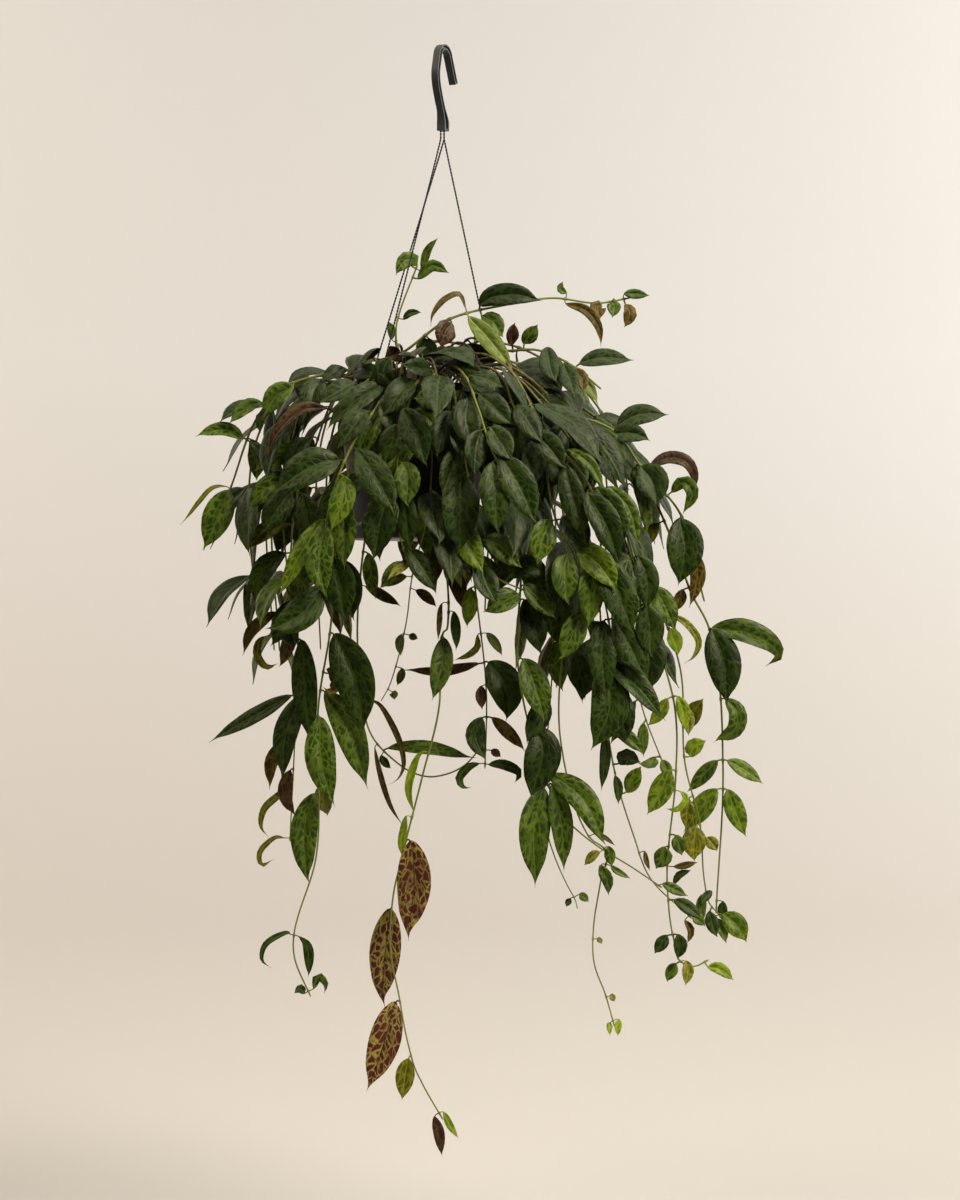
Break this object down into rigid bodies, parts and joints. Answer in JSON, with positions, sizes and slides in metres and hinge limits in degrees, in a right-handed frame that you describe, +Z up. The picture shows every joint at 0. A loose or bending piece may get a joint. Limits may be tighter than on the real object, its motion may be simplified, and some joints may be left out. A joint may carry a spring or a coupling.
{
  "type": "potted lipstick plant",
  "caption": "Trailing lipstick plant with marbled leaves in a round plastic pot, hung from a hook by three thin wires.",
  "frame": {"origin": "where the hook rests on a rail or ceiling hook: the inside of the crook's top", "axes": "+Z up, -Y towards the viewer of the picture, +X to the viewer's right"},
  "size_m": [0.6, 0.3863, 1.1109],
  "materials": {
    "hook_plastic": "satin moulded dark grey plastic",
    "hanger_wire": "thin twisted steel wire, dark coating",
    "pot_plastic": "satin moulded dark grey plastic",
    "tray_plastic": "satin moulded grey plastic",
    "soil": "damp dark potting soil, rough",
    "foliage": "waxy dark green leaves with paler marbling, soft gloss"
  },
  "bodies": {
    "root": {"drip_tray": "tray_plastic", "hook": "hook_plastic", "pot": "pot_plastic", "soil": "soil", "vine_centre_left": "foliage", "vine_centre_long": "foliage", "vine_crown_front": "foliage", "vine_far_right": "foliage", "vine_fill_01": "foliage", "vine_fill_02": "foliage", "vine_fill_03": "foliage", "vine_fill_04": "foliage", "vine_fill_05": "foliage", "vine_fill_06": "foliage", "vine_fill_07": "foliage", "vine_fill_08": "foliage", "vine_fill_09": "foliage", "vine_fill_10": "foliage", "vine_fill_11": "foliage", "vine_fill_12": "foliage", "vine_fill_13": "foliage", "vine_fill_14": "foliage", "vine_fill_15": "foliage", "vine_fill_16": "foliage", "vine_fill_17": "foliage", "vine_front_far_right": "foliage", "vine_front_left": "foliage", "vine_front_low": "foliage", "vine_front_middle": "foliage", "vine_front_right": "foliage", "vine_left_arch": "foliage", "vine_left_front": "foliage", "vine_left_inner": "foliage", "vine_left_low": "foliage", "vine_left_trail": "foliage", "vine_right_bud": "foliage", "vine_right_curl": "foliage", "vine_right_hang": "foliage", "vine_right_inner": "foliage", "vine_right_low": "foliage", "vine_right_of_centre": "foliage", "vine_right_of_middle": "foliage", "vine_right_slant": "foliage", "vine_right_thin": "foliage", "vine_shoulder_right": "foliage", "vine_top_arch": "foliage", "vine_top_right": "foliage", "vine_top_upright": "foliage", "vine_u_loop": "foliage", "wire_back_left": "hanger_wire", "wire_front_left": "hanger_wire", "wire_right": "hanger_wire"}
  },
  "joints": []
}
